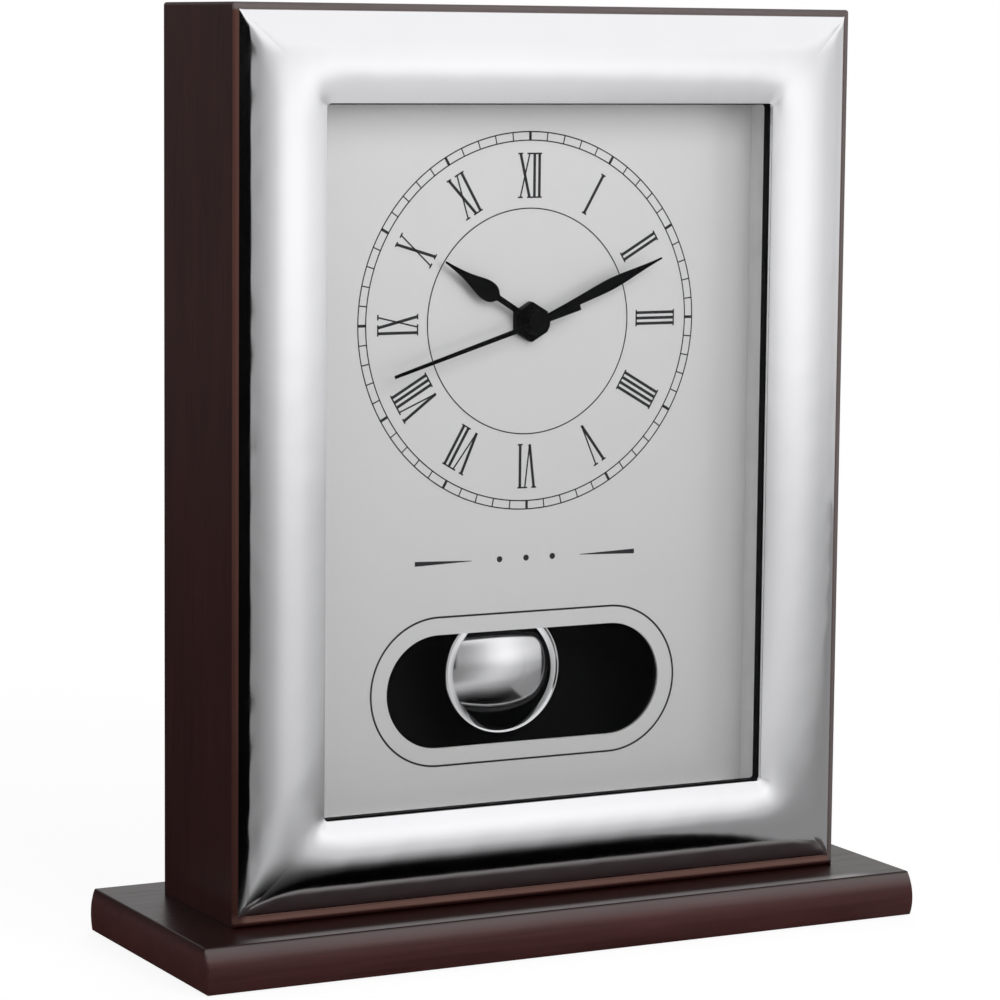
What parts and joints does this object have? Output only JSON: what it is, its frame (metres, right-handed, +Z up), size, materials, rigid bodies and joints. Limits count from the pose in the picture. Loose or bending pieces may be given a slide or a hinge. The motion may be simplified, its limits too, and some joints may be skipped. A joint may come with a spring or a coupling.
{
  "type": "desk pendulum clock",
  "caption": "Upright wooden desk clock on a wide base, with a silver frame, a printed dial behind glass and a swinging pendulum bob seen through a dial window.",
  "frame": {"origin": "middle of the underside of the felt, on the surface that the clock stands on", "axes": "+X to the viewer's right when facing the dial, -Y towards the viewer, +Z up"},
  "size_m": [0.205, 0.078, 0.2408],
  "materials": {
    "mahogany": "dark reddish-brown stain under satin lacquer, fine straight grain",
    "moulding_wood": "plain unstained wood under the silver",
    "felt": "black wool felt",
    "silver": "polished silver sheet, very slightly wavy",
    "clear_glass": "plain float glass",
    "spacer_grey": "satin grey",
    "dial_silver": "satin silver-grey with black printing",
    "board_black": "matt black board",
    "hand_black": "black satin lacquer on stamped metal",
    "washer_rubber": "soft black rubber",
    "brass": "drawn brass, lightly aged",
    "movement_black": "moulded black plastic with fine texture",
    "gear_plastic": "natural white acetal",
    "screw_steel": "zinc-plated steel",
    "battery_jacket": "plain printed jacket with no lettering",
    "contact_steel": "nickel-plated spring strip",
    "circuit_green": "green solder mask",
    "stator_iron": "bare soft iron sheet",
    "coil_copper": "enamelled copper winding",
    "magnet_grey": "sintered ferrite",
    "rod_steel": "brushed steel strip"
  },
  "bodies": {
    "case": {"base_plinth": "mahogany", "case_left_side": "mahogany", "case_right_side": "mahogany", "case_top": "mahogany", "case_bottom": "mahogany", "moulding_left": "moulding_wood", "moulding_right": "moulding_wood", "moulding_top": "moulding_wood", "moulding_bottom": "moulding_wood", "base_felt": "felt", "silver_frame": "silver", "front_glass": "clear_glass", "dial_spacer": "spacer_grey", "dial_plate": "dial_silver", "dial_board": "board_black", "mounting_nut": "hand_black", "centre_bush": "hand_black", "mounting_washer": "washer_rubber", "hinge_case_leaves": "brass", "hinge_pins": "brass", "movement_front_case": "movement_black", "movement_back_cover": "movement_black", "magnet_catch": "movement_black", "gear_plate": "gear_plastic", "base_screws": "screw_steel", "dial_board_screws": "screw_steel", "movement_screws": "screw_steel", "hinge_case_screws": "screw_steel", "pendulum_pin": "screw_steel", "battery": "battery_jacket", "battery_contact_plus": "contact_steel", "battery_contact_minus": "contact_steel", "circuit_board": "circuit_green", "stator": "stator_iron", "motor_coil": "coil_copper", "drive_coil": "coil_copper"},
    "second_train": {"seconds_wheel": "gear_plastic", "second_hand": "hand_black"},
    "intermediate": {"intermediate_wheel": "gear_plastic"},
    "rotor": {"rotor_magnet": "magnet_grey", "rotor_pinion": "gear_plastic"},
    "third": {"third_wheel": "gear_plastic"},
    "centre": {"centre_wheel": "gear_plastic"},
    "minute_train": {"minute_arbor": "gear_plastic", "minute_hand": "hand_black"},
    "minute_idler": {"minute_wheel": "gear_plastic"},
    "hour_train": {"hour_wheel": "gear_plastic", "hour_hand": "hand_black"},
    "setting": {"setting_arbor": "gear_plastic", "setting_knob": "movement_black"},
    "pendulum": {"pendulum_hanger": "movement_black", "pendulum_magnet": "magnet_grey", "pendulum_rod": "rod_steel", "bob_face": "silver", "bob_back": "rod_steel"},
    "door": {"back_door": "mahogany", "hinge_door_leaves": "brass", "hinge_door_screws": "screw_steel", "door_knob": "mahogany", "strike_plate": "screw_steel"}
  },
  "joints": [
    {"name": "second_hand_spin", "type": "hinge", "parent": "case", "child": "second_train", "pos_m": [0, 0, 0.1602], "axis": [0, 1, 0], "continuous": true},
    {"name": "intermediate_spin", "type": "hinge", "parent": "case", "child": "intermediate", "pos_m": [-0.00443, 0, 0.14802], "axis": [0, 1, 0], "continuous": true},
    {"name": "rotor_spin", "type": "hinge", "parent": "case", "child": "rotor", "pos_m": [-0.01298, 0, 0.14491], "axis": [0, 1, 0], "continuous": true},
    {"name": "third_spin", "type": "hinge", "parent": "case", "child": "third", "pos_m": [0.01182, 0, 0.15703], "axis": [0, 1, 0], "continuous": true},
    {"name": "centre_spin", "type": "hinge", "parent": "case", "child": "centre", "pos_m": [0, 0, 0.1602], "axis": [0, 1, 0], "continuous": true},
    {"name": "minute_hand_spin", "type": "hinge", "parent": "case", "child": "minute_train", "pos_m": [0, 0, 0.1602], "axis": [0, 1, 0], "continuous": true},
    {"name": "minute_idler_spin", "type": "hinge", "parent": "case", "child": "minute_idler", "pos_m": [-0.01008, 0, 0.1602], "axis": [0, 1, 0], "continuous": true},
    {"name": "hour_hand_spin", "type": "hinge", "parent": "case", "child": "hour_train", "pos_m": [0, 0, 0.1602], "axis": [0, 1, 0], "continuous": true},
    {"name": "setting_knob_spin", "type": "hinge", "parent": "case", "child": "setting", "pos_m": [-0.02016, 0, 0.1602], "axis": [0, 1, 0], "continuous": true},
    {"name": "pendulum_swing", "type": "hinge", "parent": "case", "child": "pendulum", "pos_m": [0, 0.00405, 0.1242], "axis": [0, 1, 0], "range_deg": [-12, 12]},
    {"name": "door_swing", "type": "hinge", "parent": "case", "child": "door", "pos_m": [0.0832, 0.02485, 0.12628], "axis": [0, 0, -1], "range_deg": [0, 170]}
  ],
  "couplings": [
    {"joint": "intermediate_spin", "follows": "second_hand_spin", "ratio": -5},
    {"joint": "rotor_spin", "follows": "second_hand_spin", "ratio": 30},
    {"joint": "third_spin", "follows": "second_hand_spin", "ratio": -0.125},
    {"joint": "centre_spin", "follows": "second_hand_spin", "ratio": 0.016667},
    {"joint": "minute_idler_spin", "follows": "minute_hand_spin", "ratio": -0.33333},
    {"joint": "hour_hand_spin", "follows": "minute_hand_spin", "ratio": 0.083333},
    {"joint": "setting_knob_spin", "follows": "minute_hand_spin", "ratio": 1}
  ]
}
